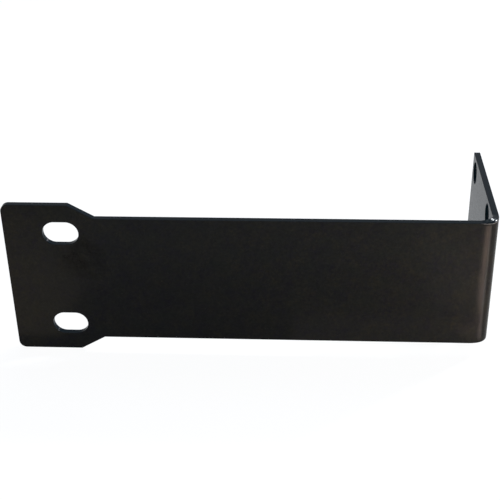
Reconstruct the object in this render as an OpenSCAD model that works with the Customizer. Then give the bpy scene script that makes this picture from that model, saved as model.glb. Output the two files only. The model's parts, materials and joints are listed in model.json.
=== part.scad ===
// Rack mount ear: one sheet of painted steel, cut to a head, a strap and a flange, and folded once.
// The head seats on a rack's rail, the strap bridges the room beside a narrow device, and the flange
// is screwed to the device's side. Millimetres. The origin is midway between the two rack slots, on
// the head's back face. +X runs along the strap to the flange, +Y to the rear of the rack, +Z up.

/* [Sheet] */
// Thickness of the sheet with its paint
sheet_t = 1.7; // [1.2:0.05:2.5]
// Radius to which the paint rounds the cut edges
edge_r = 0.15; // [0.1:0.05:0.5]
// Inside radius of the fold
bend_r = 2.3; // [1.5:0.1:5]

/* [Head] */
// Height of the head, one rack unit less a clearance
head_h = 44; // [42:0.05:44.45]
// Width of the head, from its end to where the shoulders begin
head_w = 17.3; // [16:0.1:24]
// Radius of the head's two outer corners
corner_r = 2; // [1:0.1:5]
// Angle at which the shoulders slope in to the strap
shoulder_angle = 30; // [20:1:60]

/* [Strap and flange] */
// Height of the strap and the flange
strap_h = 36.4; // [25:0.1:41]
// Length of the ear, from the head's end to the flange's outer face
ear_l = 127; // [60:0.1:160]
// Depth of the ear, from the strap's front face to the flange's end
ear_d = 42.4; // [26:0.1:60]

/* [Rack slots] */
// Length of each slot, from end to end
slot_l = 9.4; // [8:0.05:11]
// Width of each slot
slot_w = 6.5; // [5.5:0.05:7.5]
// Distance between the slots' centres
slot_pitch = 27.6; // [20:0.05:32]
// Distance from the head's end to the slots' centres
slot_inset = 14.9; // [8:0.1:15.5]

/* [Device holes] */
// Diameter of each hole in the flange
hole_d = 6.1; // [3:0.1:7]
// Distance from the flange's upper and lower edges to the holes' centres
hole_margin = 4.2; // [3.8:0.05:8]
// Distance from the strap's front face to the centres of the near holes
near_inset = 12.4; // [10.5:0.1:18]
// Distance from the flange's end to the centres of the far holes
far_inset = 4.9; // [3.8:0.1:12]

/* [Hidden] */
$fn = 96;
paint = [0.1, 0.1, 0.1];
overcut = 1;

head_x = -slot_inset;
shoulder_x = head_x + head_w;
shoulder_l = (head_h - strap_h) / 2 / tan(shoulder_angle);
outer_x = head_x + ear_l;
fold_x = outer_x - sheet_t - bend_r;
front_y = -sheet_t;
flange_l = front_y + ear_d - bend_r;
hole_rise = strap_h - 2 * hole_margin;

// One edge of the sheet in section: w from its middle to the cut edge, whose two corners are rounded
module edge_section(w) {
    square([w - edge_r, sheet_t]);
    translate([0, edge_r]) square([w, sheet_t - 2 * edge_r]);
    for (y = [edge_r, sheet_t - edge_r]) translate([w - edge_r, y]) circle(edge_r);
}

// The whole sheet in section: its two edges h apart along Y, its faces at x = -sheet_t and x = 0
module sheet_section(h) {
    for (side = [0, 1]) mirror([0, side, 0]) rotate(90) edge_section(h / 2);
}

// Flat sheet h high that runs l along +X from the origin, with its front face at front_y
module strip(l, h) {
    rotate([90, 0, 90]) linear_extrude(l) sheet_section(h);
}

// Flat sheet with one cut edge, which lies along Z for a length of l, and w of width on its +X side
module edge_strip(l, w) {
    linear_extrude(l, center = true) translate([w, front_y]) mirror([1, 0, 0]) edge_section(w);
}

// The head without its shoulders, from its end with the two rounded corners to l along +X
module square_head(l) {
    translate([corner_r, 0, 0]) strip(l - corner_r, head_h);
    edge_strip(head_h - 2 * corner_r, head_w);
    for (side = [-1, 1])
        translate([corner_r, 0, side * (head_h / 2 - corner_r)])
            rotate([90, 0, 0]) rotate_extrude() edge_section(corner_r);
}

// All the sheet that lies below the upper shoulder's sloping edge
module below_shoulder() {
    reach = head_w + head_h;
    translate([shoulder_x, 0, head_h / 2])
        rotate([0, 90 + shoulder_angle, 0]) edge_strip(2 * reach, reach);
}

// The head with its shoulders, which run on into the strap
module head() {
    intersection() {
        translate([head_x, 0, 0]) square_head(head_w + shoulder_l + overcut);
        below_shoulder();
        mirror([0, 0, 1]) below_shoulder();
    }
}

// The strap, from within the head to where the fold begins
module strap() {
    translate([shoulder_x, 0, 0]) strip(fold_x - shoulder_x, strap_h);
}

// The quarter turn that carries the strap's section round into the flange
module fold() {
    translate([fold_x, bend_r, 0]) rotate([0, 0, -90])
        rotate_extrude(angle = 90) translate([bend_r + sheet_t, 0]) sheet_section(strap_h);
}

// The flange, whose far edge is rounded like the others
module flange() {
    translate([outer_x - sheet_t, bend_r, 0]) rotate([0, 0, 90]) intersection() {
        strip(flange_l + overcut, strap_h);
        translate([flange_l, 0, 0]) mirror([1, 0, 0]) edge_strip(strap_h + 2 * overcut, flange_l);
    }
}

// Half of a hole in section, r wide, with the flare that leaves its two rims rounded
module hole_section(r) {
    rim_z = sheet_t / 2 - edge_r;
    translate([0, -sheet_t / 2 - overcut]) square([r, sheet_t + 2 * overcut]);
    for (side = [0, 1]) mirror([0, side, 0]) difference() {
        translate([0, rim_z]) square([r + edge_r, edge_r + overcut]);
        translate([r + edge_r, rim_z]) circle(edge_r);
    }
}

// Cutter for a hole of diameter d in a sheet that lies across Z
module round_cutter(d) {
    rotate_extrude() hole_section(d / 2);
}

// Cutter for a slot of width d, whose round ends are travel apart along X
module slot_cutter(d, travel) {
    for (side = [-1, 1]) translate([side * travel / 2, 0, 0]) round_cutter(d);
    rotate([90, 0, 90]) linear_extrude(travel, center = true)
        for (side = [0, 1]) mirror([side, 0, 0]) hole_section(d / 2);
}

// The two slots through the head, which leave the rack screws room to move sideways
module rack_slots() {
    for (side = [-1, 1])
        translate([0, -sheet_t / 2, side * slot_pitch / 2])
            rotate([90, 0, 0]) slot_cutter(slot_w, slot_l - slot_w);
}

// The two rows of two round holes through the flange, for the device's own screws
module device_holes() {
    for (y = [near_inset, ear_d - far_inset], side = [-1, 1])
        translate([outer_x - sheet_t / 2, front_y + y, side * hole_rise / 2])
            rotate([0, 90, 0]) round_cutter(hole_d);
}

module ear() {
    color(paint) difference() {
        union() {
            head();
            strap();
            fold();
            flange();
        }
        rack_slots();
        device_holes();
    }
}

ear();
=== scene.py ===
# Rack mount ear: one folded steel sheet in satin black paint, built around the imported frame.
import json
import math
import bmesh
import bpy
from mathutils import Euler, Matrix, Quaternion, Vector
from mathutils.geometry import interpolate_bezier


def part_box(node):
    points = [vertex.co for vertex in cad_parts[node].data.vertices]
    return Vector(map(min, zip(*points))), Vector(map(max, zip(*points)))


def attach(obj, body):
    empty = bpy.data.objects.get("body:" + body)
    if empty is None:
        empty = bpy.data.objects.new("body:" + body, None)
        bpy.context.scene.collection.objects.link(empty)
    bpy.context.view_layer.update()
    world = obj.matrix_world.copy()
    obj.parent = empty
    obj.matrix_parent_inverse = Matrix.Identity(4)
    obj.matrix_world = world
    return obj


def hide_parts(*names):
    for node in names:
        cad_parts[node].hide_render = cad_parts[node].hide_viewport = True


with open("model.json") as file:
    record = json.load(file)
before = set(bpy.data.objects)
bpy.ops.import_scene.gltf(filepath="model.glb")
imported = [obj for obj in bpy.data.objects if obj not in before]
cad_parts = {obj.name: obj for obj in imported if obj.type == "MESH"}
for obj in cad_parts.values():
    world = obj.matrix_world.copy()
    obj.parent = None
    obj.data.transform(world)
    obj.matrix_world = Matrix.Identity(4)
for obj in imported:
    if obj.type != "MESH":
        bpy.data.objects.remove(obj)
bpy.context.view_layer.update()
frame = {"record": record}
mm = 0.001


def mountNamed(name):
    return next(m for m in frame["record"]["mounts"] if m["name"] == name)


def addNode(tree, kind, inputs=None, **fields):  # an input takes a plain value or another node's socket
    made = tree.nodes.new(kind)
    for name, value in fields.items():
        setattr(made, name, value)
    for name, value in (inputs or {}).items():
        if isinstance(value, bpy.types.NodeSocket):
            tree.links.new(value, made.inputs[name])
        else:
            made.inputs[name].default_value = value
    return made


def calc(tree, operation, *values):
    made = addNode(tree, "ShaderNodeMath", dict(enumerate(values)), operation=operation)
    return made.outputs[0]


def newGroup(kind, name, inputs, outputs):  # inputs are (name, kind of socket, value)
    tree = bpy.data.node_groups.new(name, kind)
    for label, socket, value in inputs:
        made = tree.interface.new_socket(label, in_out="INPUT", socket_type=socket)
        if value is not None:
            made.default_value = value
    for label, socket in outputs:
        tree.interface.new_socket(label, in_out="OUTPUT", socket_type=socket)
    return tree, tree.nodes.new("NodeGroupInput").outputs, tree.nodes.new("NodeGroupOutput").inputs


# The blank: the sheet as it is cut, before the fold. s runs along it, z up, and y through it, with the
# back face at 0.

ear = {  # metres and degrees; what isn't here is read from the frame
    "strapHeight": 36.4 * mm,
    "headWidth": 17.3 * mm,
    "headCorner": 2.0 * mm,
    "shoulderAngle": 30.0,
    "slotLength": 9.4 * mm,
    "edgeRadius": 0.15 * mm,  # paint rounds every cut edge
    "cornerEase": 0.2 * mm,  # and eases the sharp corners of the outline
    "foldReach": 4.0 * mm,  # how far before the corner the sheet's middle starts to turn
    "foldEase": 0.70,  # 0.55 folds round a circle, more is tighter halfway round
    "foldBulge": 0.32 * mm,  # what the fold squeezes out at the cut edges, on its inside
    "foldSink": 0.08 * mm,  # and draws in on its outside
    "foldUpperSink": 0.05 * mm,  # with more of it at the upper edge
    "foldUpperRoll": 0.24 * mm,  # whose outer corner is rolled down too
    "foldRollShare": 0.35,  # over this much of the thickness
    "foldEdgePower": 24.0,  # the higher, the closer all this keeps to the cut edges
    "foldCuts": 32,  # strips across the fold
    "foldSteps": 96,  # points on the way of the sheet's middle round it
    "arcSteps": 24,  # in half a circle of the outline, a slot or a hole
    "cornerSteps": 3,  # in a corner of the outline, at least
    "edgeSteps": 5,  # in the rounding of a cut edge, and across its flat
    "weldReach": 1e-7,  # points closer than this are one
}


def layOut():
    low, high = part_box("ear")
    lay = dict(ear)
    lay["thickness"] = -low.y
    lay["headEnd"] = low.x
    lay["halfHead"] = high.z
    lay["halfStrap"] = ear["strapHeight"] / 2
    corner = Vector((high.x - lay["thickness"] / 2, -lay["thickness"] / 2))  # of the sheet's middle
    lay["foldStart"] = corner.x - ear["foldReach"]
    lay["foldLine"] = [  # start, handle, handle and end of the middle's way round
        Vector((lay["foldStart"], corner.y)),
        Vector((lay["foldStart"] + ear["foldEase"] * ear["foldReach"], corner.y)),
        Vector((corner.x, corner.y + (1 - ear["foldEase"]) * ear["foldReach"])),
        Vector((corner.x, corner.y + ear["foldReach"])),
    ]
    points = interpolate_bezier(*lay["foldLine"], ear["foldSteps"] + 1)
    lay["foldLength"] = sum((b - a).length for a, b in zip(points, points[1:]))
    lay["flangeStart"] = lay["foldStart"] + lay["foldLength"]
    lay["flangeEnd"] = lay["flangeStart"] + high.y - points[-1].y
    return lay


def direction(angle):
    return Vector((math.cos(angle), math.sin(angle)))


def easedLoop(corners, steps, least):  # (corner, radius) anticlockwise, to (point, outward direction)
    loop = []
    for i, (corner, radius) in enumerate(corners):
        before = (corner - corners[i - 1][0]).normalized()
        after = (corners[(i + 1) % len(corners)][0] - corner).normalized()
        turn = math.atan2(before.x * after.y - before.y * after.x, before.dot(after))
        side = math.copysign(radius, turn)
        centre = corner - before * radius * math.tan(abs(turn) / 2) + Vector((-before.y, before.x)) * side
        facing = math.atan2(-before.x, before.y)
        count = max(least, round(steps * abs(turn) / math.pi))
        for j in range(count + 1):
            out = direction(facing + turn * j / count)
            loop.append((centre + out * side, out))
    return loop


def slotLoop(centre, radius, travel, steps):  # clockwise, and "outward" is into the hole
    loop = []
    for side in (1, -1):
        for j in range(steps + 1):
            out = direction(math.pi / 2 * side - math.pi * j / steps)
            loop.append((centre + Vector((side * travel / 2, 0)) + out * radius, -out))
    return loop


def holeLoop(centre, radius, steps):
    turns = [direction(-2 * math.pi * j / steps) for j in range(steps)]
    return [(centre + out * radius, -out) for out in turns]


def blankLoops(lay):
    ease = lay["cornerEase"]
    shoulder = lay["headEnd"] + lay["headWidth"]
    drop = lay["halfHead"] - lay["halfStrap"]
    neck = shoulder + drop / math.tan(math.radians(lay["shoulderAngle"]))
    below = [
        (Vector((lay["headEnd"], -lay["halfHead"])), lay["headCorner"]),
        (Vector((shoulder, -lay["halfHead"])), ease),
        (Vector((neck, -lay["halfStrap"])), ease),
        (Vector((lay["flangeEnd"], -lay["halfStrap"])), ease),
    ]
    above = [(Vector((corner.x, -corner.y)), radius) for corner, radius in reversed(below)]
    loops = [easedLoop(below + above, lay["arcSteps"], lay["cornerSteps"])]
    slots = mountNamed("rack_slots")["dims"]
    radius = slots["hole_r_mm"] * mm
    for side in (-1, 1):
        centre = Vector((0, side * slots["spacing_y_mm"] * mm / 2))
        loops.append(slotLoop(centre, radius, lay["slotLength"] - 2 * radius, lay["arcSteps"]))
    seat = mountNamed("device_holes")
    holes = seat["dims"]
    middle = lay["flangeStart"] + seat["pos_m"][1] - lay["foldLine"][-1].y  # the flange's y, as s
    for u in (-0.5, 0.5):
        for v in (-0.5, 0.5):
            centre = Vector((middle + u * holes["spacing_x_mm"] * mm, v * holes["spacing_y_mm"] * mm))
            loops.append(holeLoop(centre, holes["hole_r_mm"] * mm, 2 * lay["arcSteps"]))
    return loops


def edgeProfile(lay):  # (inset from the cut edge, y), from the front face round to the back face
    r, steps = lay["edgeRadius"], lay["edgeSteps"]
    turns = [math.pi / 2 * i / steps for i in range(steps + 1)]
    half = [(r * (1 - math.sin(a)), r * (1 - math.cos(a))) for a in turns]
    front = [(inset, depth - lay["thickness"]) for inset, depth in half]
    back = [(inset, -depth) for inset, depth in reversed(half)]
    width = lay["thickness"] - 2 * r
    flat = [(0, r - lay["thickness"] + width * (i + 1) / (steps + 1)) for i in range(steps)]
    return front + flat + back


def makeBlank(lay):
    bm = bmesh.new()
    rim = bm.verts.layers.float.new("rim")  # 1 on the cut edges, 0 on the sheet's two faces
    profile = edgeProfile(lay)
    faceEdges = [], []
    for loop in blankLoops(lay):
        rings = []
        for inset, y in profile:
            ring = []
            for point, out in loop:
                ring.append(bm.verts.new((point.x - out.x * inset, y, point.y - out.y * inset)))
            for vert in ring:
                vert[rim] = 1 - inset / lay["edgeRadius"]
            rings.append(ring)
        count = len(loop)
        for a, b in zip(rings, rings[1:]):
            for i in range(count):
                j = (i + 1) % count
                bm.faces.new((a[i], a[j], b[j], b[i]))
        for edges, ring in zip(faceEdges, (rings[0], rings[-1])):
            edges.extend(bm.edges.get((ring[i - 1], ring[i])) for i in range(count))
    for edges in faceEdges:
        bmesh.ops.triangle_fill(bm, edges=edges, use_beauty=True, use_dissolve=False)
    weld = lay["weldReach"]
    for i in range(lay["foldCuts"] + 1):
        s = lay["foldStart"] + lay["foldLength"] * i / lay["foldCuts"]
        everything = bm.verts[:] + bm.edges[:] + bm.faces[:]
        bmesh.ops.bisect_plane(bm, geom=everything, dist=weld, plane_co=(s, 0, 0), plane_no=(1, 0, 0))
    bmesh.ops.remove_doubles(bm, verts=bm.verts, dist=weld)
    bmesh.ops.recalc_face_normals(bm, faces=bm.faces)
    mesh = bpy.data.meshes.new("blank")
    bm.to_mesh(mesh)
    bm.free()
    return mesh


# The fold: the blank's far end goes round the press brake's punch.

def makeFoldTree():
    tree, given, made = newGroup("GeometryNodeTree", "foldSheet", [
        ("Blank", "NodeSocketGeometry", None),
        ("Start", "NodeSocketVector", (0, 0, 0)),  # of the way round, with its two handles and its end
        ("Start Handle", "NodeSocketVector", (1 * mm, 0, 0)),
        ("End Handle", "NodeSocketVector", (2 * mm, 1 * mm, 0)),
        ("End", "NodeSocketVector", (2 * mm, 2 * mm, 0)),
        ("Steps", "NodeSocketInt", 64),
        ("Thickness", "NodeSocketFloat", 1.5 * mm),
        ("Half Width", "NodeSocketFloat", 18 * mm),
        ("Edge Bulge", "NodeSocketFloat", 0.1 * mm),
        ("Edge Sink", "NodeSocketFloat", 0.1 * mm),
        ("Upper Sink", "NodeSocketFloat", 0.1 * mm),  # more of it at the upper edge
        ("Upper Roll", "NodeSocketFloat", 0.1 * mm),
        ("Finish", "NodeSocketMaterial", None),
    ], [("Folded", "NodeSocketGeometry")])
    position = addNode(tree, "GeometryNodeInputPosition").outputs[0]
    s, y, z = addNode(tree, "ShaderNodeSeparateXYZ", {0: position}).outputs
    line = addNode(tree, "GeometryNodeCurvePrimitiveBezierSegment", {
        "Resolution": given["Steps"],
        "Start": given["Start"],
        "Start Handle": given["Start Handle"],
        "End Handle": given["End Handle"],
        "End": given["End"],
    })
    length = addNode(tree, "GeometryNodeCurveLength", {0: line.outputs[0]}).outputs[0]
    start = addNode(tree, "ShaderNodeSeparateXYZ", {0: given["Start"]}).outputs[0]
    past = calc(tree, "SUBTRACT", s, start)
    onLine = addNode(tree, "ShaderNodeClamp", {"Value": past, "Max": length}).outputs[0]
    sample = addNode(tree, "GeometryNodeSampleCurve", {
        "Curves": line.outputs[0],
        "Length": onLine,
    }, mode="LENGTH")
    ahead = sample.outputs["Tangent"]
    inward = addNode(tree, "ShaderNodeVectorRotate", {
        "Vector": ahead,
        "Angle": math.pi / 2,
    }, rotation_type="Z_AXIS").outputs[0]
    height = calc(tree, "MULTIPLY_ADD", given["Thickness"], 0.5, y)  # above the sheet's middle

    # What the fold does to the cut edges: inside is 0 on the outer face and 1 on the inner one.
    hump = calc(tree, "SINE", calc(tree, "MULTIPLY", calc(tree, "DIVIDE", onLine, length), math.pi))
    inside = calc(tree, "MULTIPLY_ADD", calc(tree, "DIVIDE", height, given["Thickness"]), 1.0, 0.5)
    upper = calc(tree, "GREATER_THAN", z, 0.0)
    sink = calc(tree, "MULTIPLY_ADD", upper, given["Upper Sink"], given["Edge Sink"])
    travel = calc(tree, "ADD", given["Edge Bulge"], sink)
    out = calc(tree, "SUBTRACT", calc(tree, "MULTIPLY", inside, travel), sink)
    near = calc(tree, "MULTIPLY_ADD", inside, -1 / ear["foldRollShare"], 1.0)
    near = calc(tree, "MAXIMUM", near, 0.0)
    roll = calc(tree, "MULTIPLY", upper, given["Upper Roll"])
    roll = calc(tree, "MULTIPLY", calc(tree, "MULTIPLY", near, near), roll)
    out = calc(tree, "SUBTRACT", out, roll)
    edge = calc(tree, "DIVIDE", calc(tree, "ABSOLUTE", z), given["Half Width"])
    edge = calc(tree, "POWER", edge, ear["foldEdgePower"])
    bulge = calc(tree, "MULTIPLY", calc(tree, "MULTIPLY", hump, edge), out)

    along = addNode(tree, "ShaderNodeVectorMath", {
        "Vector": ahead,
        "Scale": calc(tree, "SUBTRACT", past, onLine),
    }, operation="SCALE")
    across = addNode(tree, "ShaderNodeVectorMath", {
        "Vector": inward,
        "Scale": height,
    }, operation="SCALE")
    up = addNode(tree, "ShaderNodeCombineXYZ", {
        2: calc(tree, "MULTIPLY_ADD", calc(tree, "SIGN", z), bulge, z),
    })
    folded = sample.outputs["Position"]
    for part in (along, across, up):
        folded = addNode(tree, "ShaderNodeVectorMath", {0: folded, 1: part.outputs[0]}).outputs[0]
    moved = addNode(tree, "GeometryNodeSetPosition", {"Geometry": given["Blank"], "Position": folded})
    smooth = addNode(tree, "GeometryNodeSetShadeSmooth", {"Geometry": moved.outputs[0]})
    real = addNode(tree, "GeometryNodeRealizeInstances", {"Geometry": smooth.outputs[0]})
    finished = addNode(tree, "GeometryNodeSetMaterial", {
        "Geometry": real.outputs[0],
        "Material": given["Finish"],
    })
    tree.links.new(finished.outputs[0], made["Folded"])
    return tree


def foldEar(lay, finish):
    obj = bpy.data.objects.new("earSheet", makeBlank(lay))
    bpy.context.scene.collection.objects.link(obj)
    modifier = obj.modifiers.new("fold", "NODES")
    modifier.node_group = makeFoldTree()
    sizes = {
        "Steps": lay["foldSteps"],
        "Thickness": lay["thickness"],
        "Half Width": lay["halfStrap"],
        "Edge Bulge": lay["foldBulge"],
        "Edge Sink": lay["foldSink"],
        "Upper Sink": lay["foldUpperSink"],
        "Upper Roll": lay["foldUpperRoll"],
        "Finish": finish,
    }
    for name, corner in zip(("Start", "Start Handle", "End Handle", "End"), lay["foldLine"]):
        sizes[name] = corner.to_3d()
    for item in modifier.node_group.interface.items_tree:
        if item.name in sizes:
            modifier[item.identifier] = sizes[item.name]
    weigh = obj.modifiers.new("flatFaces", "WEIGHTED_NORMAL")
    weigh.weight = 100  # the big faces' shading stays flat up to their rounded edges
    graph = bpy.context.evaluated_depsgraph_get()
    plain = bpy.data.meshes.new_from_object(obj.evaluated_get(graph), depsgraph=graph)
    obj.modifiers.clear()
    blank = obj.data
    obj.data = plain
    plain.name = "earSheet"
    bpy.data.meshes.remove(blank)
    return obj


# The finish: black paint, baked on. Its skin is smooth, its body has settled a little unevenly.

paint = {
    "colour": (0.0053, 0.0055, 0.0048, 1),
    "warm": (0.0090, 0.0076, 0.0050, 1),  # where the coat is thin
    "violet": (0.0044, 0.0038, 0.0054, 1),  # where it is thick
    "edge": (0.0006, 0.0022, 0.0036, 1),  # darker, with a painted bluish reflection, on the cut edges
    "paintedHighlight": (0.06, 0.055, 0.055, 1),  # painted highlight on the section's rounded corners
    "highlightShare": 0.02,  # how strong the painted highlight is, along most of the outline
    "highlightFold": (108.4 * mm, 110.0 * mm),  # painted highlight in full where x - y is past these, on the fold's outside
    "specular": 0.034,
    "roughness": 0.25,
    "roughnessSpread": 0.05,
    "edgeRoughness": 0.17,
    "cloudSize": 4.0 * mm,
    "patchSize": 0.9 * mm,
    "patchRange": (0.34, 0.66),  # of the noise, from none of a patch to all of it
    "fleckSize": 0.6 * mm,
    "fleck": 0.45,  # how much of the body's colour they take away
    "peelSize": 0.8 * mm,
    "peelDepth": 0.003 * mm,
    "grainSize": 0.22 * mm,
    "grainDepth": 0.0008 * mm,
    "warmerEnd": (-16 * mm, 4 * mm),  # the head is warmer towards its end, between these
    "endWarmth": 0.35,
    "smudge": (4.5 * mm, -1.7 * mm, 7.0 * mm),  # left beside the upper slot
    "smudgeCore": 2.55 * mm,
    "smudgeReach": 8.5 * mm,
    "smudgeDepth": 0.7,
    "smudgeColour": (0.0008, 0.0008, 0.0008, 1),  # of the flecks too
}


def makeMottle():  # soft-edged patches of a given size
    tree, given, made = newGroup("ShaderNodeTree", "mottle", [
        ("Place", "NodeSocketVector", None),
        ("Size", "NodeSocketFloat", 5 * mm),
        ("Seed", "NodeSocketFloat", 0.0),
    ], [("Mask", "NodeSocketFloat")])
    noise = addNode(tree, "ShaderNodeTexNoise", {
        "Vector": given["Place"],
        "W": given["Seed"],
        "Scale": calc(tree, "DIVIDE", 1.0, given["Size"]),
        "Detail": 3.0,
        "Roughness": 0.6,
    }, noise_dimensions="4D")
    low, high = paint["patchRange"]
    mask = addNode(tree, "ShaderNodeMapRange", {
        "Value": noise.outputs[0],
        "From Min": low,
        "From Max": high,
    })
    tree.links.new(mask.outputs[0], made["Mask"])
    return tree


def ramp(tree, value, low, high):  # 0 at low, 1 at high
    made = addNode(tree, "ShaderNodeMapRange", {
        "Value": value,
        "From Min": low,
        "From Max": high,
    }, interpolation_type="SMOOTHSTEP")
    return made.outputs[0]


def blend(tree, share, first, second):
    made = addNode(tree, "ShaderNodeMix", {0: share, 6: first, 7: second}, data_type="RGBA")
    return made.outputs[2]


def makePaint():
    material = bpy.data.materials.new("blackPaint")
    material.use_nodes = True
    tree = material.node_tree
    tree.nodes.clear()
    mottle = makeMottle()
    place = addNode(tree, "ShaderNodeTexCoord").outputs["Object"]
    x, y, _ = addNode(tree, "ShaderNodeSeparateXYZ", {0: place}).outputs
    rim = addNode(tree, "ShaderNodeAttribute", attribute_name="rim").outputs["Fac"]

    def patches(size, seed):  # each seed is used once
        inputs = {"Place": place, "Size": size, "Seed": seed}
        return addNode(tree, "ShaderNodeGroup", inputs, node_tree=mottle).outputs["Mask"]

    towardsEnd = ramp(tree, x, paint["warmerEnd"][1], paint["warmerEnd"][0])
    thin = calc(tree, "MULTIPLY", patches(paint["cloudSize"], 1.0), patches(paint["patchSize"], 2.0))
    thin = calc(tree, "MULTIPLY_ADD", towardsEnd, paint["endWarmth"], thin)
    thick = calc(tree, "MULTIPLY", patches(paint["cloudSize"], 3.0), patches(paint["patchSize"], 4.0))
    colour = blend(tree, thin, paint["colour"], paint["warm"])
    colour = blend(tree, thick, colour, paint["violet"])

    away = addNode(tree, "ShaderNodeVectorMath", {0: place, 1: paint["smudge"]}, operation="DISTANCE")
    smudge = ramp(tree, away.outputs["Value"], paint["smudgeReach"], paint["smudgeCore"])
    cloud = calc(tree, "MULTIPLY", patches(paint["cloudSize"], 5.0), paint["smudgeDepth"])
    smudge = calc(tree, "MULTIPLY", smudge, cloud)
    smudge = calc(tree, "MULTIPLY_ADD", patches(paint["fleckSize"], 7.0), paint["fleck"], smudge)
    colour = blend(tree, smudge, colour, paint["smudgeColour"])
    # the cut edges take the darker colour with its painted bluish reflection
    colour = blend(tree, rim, colour, paint["edge"])

    # Painted highlight on the section's rounded corners: corner is 1 halfway round the rounding, and 0 on
    # the cut edge and the faces.
    corner = calc(tree, "MULTIPLY", calc(tree, "MULTIPLY", rim, 4.0), calc(tree, "SUBTRACT", 1.0, rim))
    bend = ramp(tree, calc(tree, "SUBTRACT", x, y), *paint["highlightFold"])
    highlightShare = calc(tree, "MULTIPLY_ADD", bend, 1 - paint["highlightShare"], paint["highlightShare"])
    colour = blend(tree, calc(tree, "MULTIPLY", corner, highlightShare), colour, paint["paintedHighlight"])

    spread = calc(tree, "SUBTRACT", patches(paint["patchSize"], 6.0), 0.5)
    roughness = calc(tree, "MULTIPLY_ADD", spread, paint["roughnessSpread"], paint["roughness"])
    tight = calc(tree, "MULTIPLY", rim, paint["edgeRoughness"] - paint["roughness"])
    roughness = calc(tree, "ADD", roughness, tight)

    peel = addNode(tree, "ShaderNodeTexNoise", {
        "Vector": place,
        "Scale": 1 / paint["peelSize"],
        "Detail": 1.0,
    })
    grain = addNode(tree, "ShaderNodeTexNoise", {
        "Vector": place,
        "Scale": 1 / paint["grainSize"],
        "Detail": 2.0,
    })
    swell = addNode(tree, "ShaderNodeBump", {"Height": peel.outputs[0], "Distance": paint["peelDepth"]})
    fine = addNode(tree, "ShaderNodeBump", {
        "Height": grain.outputs[0],
        "Distance": paint["grainDepth"],
        "Normal": swell.outputs[0],
    })
    shader = addNode(tree, "ShaderNodeBsdfPrincipled", {
        "Base Color": colour,
        "Roughness": roughness,
        "Specular IOR Level": paint["specular"],
        "Normal": fine.outputs[0],
    })
    addNode(tree, "ShaderNodeOutputMaterial", {"Surface": shader.outputs[0]})
    print("paint mixed")
    return material


sheet = foldEar(layOut(), makePaint())
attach(sheet, "root")
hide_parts("ear")
print("ear folded:", len(sheet.data.polygons), "faces")


# The studio: a white surround, with lamps above and bounce cards on the floor.

studio = {
    "floorColour": (0.72, 0.72, 0.72, 1),
    "floorWhite": 0.94,  # how far the floor is seen as white, however it is lit
    "floorSize": 3.0,
    "worldColour": (0.15, 0.35, 0.7, 1),  # of the light it gives, while it is seen as white
    "cardLift": 0.5 * mm,  # from the floor
}


def seenDirectly(tree):  # 1 for what the camera, a reflection or a see-through part shows of the surround
    path = addNode(tree, "ShaderNodeLightPath").outputs
    either = calc(tree, "MAXIMUM", path["Is Camera Ray"], path["Is Glossy Ray"])
    return calc(tree, "MAXIMUM", either, path["Is Transmission Ray"])


def makeFloor(level):
    half = studio["floorSize"] / 2
    corners = [(x * half, y * half, level) for x, y in ((-1, -1), (1, -1), (1, 1), (-1, 1))]
    mesh = bpy.data.meshes.new("floor")
    mesh.from_pydata(corners, [], [(0, 1, 2, 3)])
    floor = bpy.data.objects.new("floor", mesh)
    bpy.context.scene.collection.objects.link(floor)
    material = bpy.data.materials.new("paleFloor")
    material.use_nodes = True
    tree = material.node_tree
    tree.nodes.clear()
    card = addNode(tree, "ShaderNodeBsdfDiffuse", {"Color": studio["floorColour"]})
    white = addNode(tree, "ShaderNodeEmission", {"Color": (1, 1, 1, 1), "Strength": 1.0})
    share = calc(tree, "MULTIPLY", seenDirectly(tree), studio["floorWhite"])
    mix = addNode(tree, "ShaderNodeMixShader", {0: share, 1: card.outputs[0], 2: white.outputs[0]})
    addNode(tree, "ShaderNodeOutputMaterial", {"Surface": mix.outputs[0]})
    mesh.materials.append(material)


def makeWorld():
    world = bpy.data.worlds.new("studio")
    world.use_nodes = True
    bpy.context.scene.world = world
    tree = world.node_tree
    tree.nodes.clear()
    light = addNode(tree, "ShaderNodeBackground", {"Color": studio["worldColour"], "Strength": 1.0})
    white = addNode(tree, "ShaderNodeBackground", {"Color": (1, 1, 1, 1), "Strength": 1.0})
    seen = seenDirectly(tree)
    mix = addNode(tree, "ShaderNodeMixShader", {0: seen, 1: light.outputs[0], 2: white.outputs[0]})
    addNode(tree, "ShaderNodeOutputWorld", {"Surface": mix.outputs[0]})


# The boxes light the faces, slotSpot the slots' walls, and the two small spots the fold's upper rim.
lamps = {  # place, what it is aimed at, width and depth, radiance, colour
    "frontBox": ((0.05, -0.35, 0.35), (0.05, 0, 0), (0.4, 0.3), 3.5, (0.97, 1, 1)),
    "sideBox": ((0.25, -0.1, 0.05), (0.1, 0, 0), (0.1, 0.1), 18.0, (1, 0.89, 0.6)),
    "slotSpot": ((0.93, 1.66, 0.55), (-0.005, 0, 0.012), (0.24, 0.24), 14.0, (0.96, 0.9, 1)),
    "backBox": ((0.02, 0.28, 0.55), (0.05, 0, 0), (0.4, 0.3), 6.0, (0.85, 0.95, 1)),
    "rimSpot": ((0.434, 0.271, 0.287), (0.1115, 0, 0.018), (0.05, 0.05), 700, (0.9, 0.95, 1)),
    "backSpot": ((0.285, 0.34, 0.34), (0.1105, 0, 0.018), (0.035, 0.035), 450.0, (0.92, 0.96, 1)),
}

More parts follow.
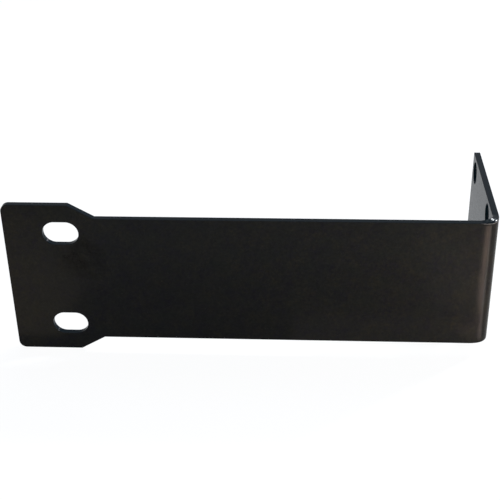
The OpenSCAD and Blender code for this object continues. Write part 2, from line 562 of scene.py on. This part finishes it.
# The cards lie on the floor, and each is reflected in a part of the front, the fold or the flange.
cards = {  # middle, width and depth, turn, radiance, colour
    "headCard": ((-0.032, -0.042), (0.056, 0.07), 0, 1.8, (1, 0.84, 0.6)),
    "strapCard": ((0.12, -0.05), (0.04, 0.05), 0, 1.5, (0.96, 1, 0.92)),
    "topCard": ((0.045, -0.07), (0.13, 0.04), 0, 0.72, (0.9, 0.95, 0.93)),
    "toeCard": ((0.09, -0.012), (0.06, 0.014), 0, 1.13, (1, 0.87, 0.79)),
    "flangeCard": ((0.1, 0.09), (0.06, 0.12), 0, 0.05, (0, 0.5, 1)),
    "foldSide": ((0.15, -0.055), (0.04, 0.03), -22, 26.4, (1, 0.72, 0.59)),
    "foldFront": ((0.128, -0.03), (0.02, 0.02), -22, 18.9, (1, 0.74, 0.62)),
    "foldToe": ((0.1122, -0.0142), (0.0144, 0.006), -33.7, 3.2, (1, 0.72, 0.54)),
    "foldEdgeNear": ((0.1205, -0.01), (0.014, 0.006), -34.8, 11.1, (1, 0.78, 0.72)),
    "foldEdgeMiddle": ((0.1353, -0.02), (0.0216, 0.006), -33.7, 15.5, (1, 0.95, 0.91)),
    "foldEdgeFar": ((0.157, -0.0352), (0.0313, 0.007), -33.9, 30.1, (1, 0.87, 0.76)),
}


def addLamp(name, place, target, size, radiance, colour, turn=0):
    data = bpy.data.lights.new(name, "AREA")
    data.shape = "RECTANGLE"
    data.size, data.size_y = size
    data.energy = radiance * math.pi * size[0] * size[1]  # in watts
    data.color = colour
    lamp = bpy.data.objects.new(name, data)
    bpy.context.scene.collection.objects.link(lamp)
    lamp.location = place
    aim = (Vector(target) - Vector(place)).to_track_quat("-Z", "Y")
    lamp.rotation_euler = (Quaternion((0, 0, 1), math.radians(turn)) @ aim).to_euler()
    lamp.visible_camera = False


view = {
    "lens": 77.92,  # with the sensor's width, in millimetres
    "sensor": 36,
    "nearest": 0.01,  # nothing closer than this is seen
    "place": (0.06499, -0.24217, 0.14855),
    "turn": (60.046, 0.998, 3.24),
}


def addCamera():
    lens = bpy.data.cameras.new("camera")
    lens.lens = view["lens"]
    lens.sensor_width = view["sensor"]
    lens.clip_start = view["nearest"]
    camera = bpy.data.objects.new("camera", lens)
    bpy.context.scene.collection.objects.link(camera)
    camera.location = view["place"]
    camera.rotation_euler = Euler(map(math.radians, view["turn"]))
    bpy.context.scene.camera = camera
    bpy.context.scene.view_settings.view_transform = "Standard"


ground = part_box("ear")[0].z
makeFloor(ground)
makeWorld()
for name, values in lamps.items():
    addLamp(name, *values)
for name, (middle, size, turn, radiance, colour) in cards.items():
    place = Vector((*middle, ground + studio["cardLift"]))
    addLamp(name, place, place + Vector((0, 0, 1)), size, radiance, colour, turn)
print("studio lit:", len(lamps), "lamps and", len(cards), "cards")
addCamera()
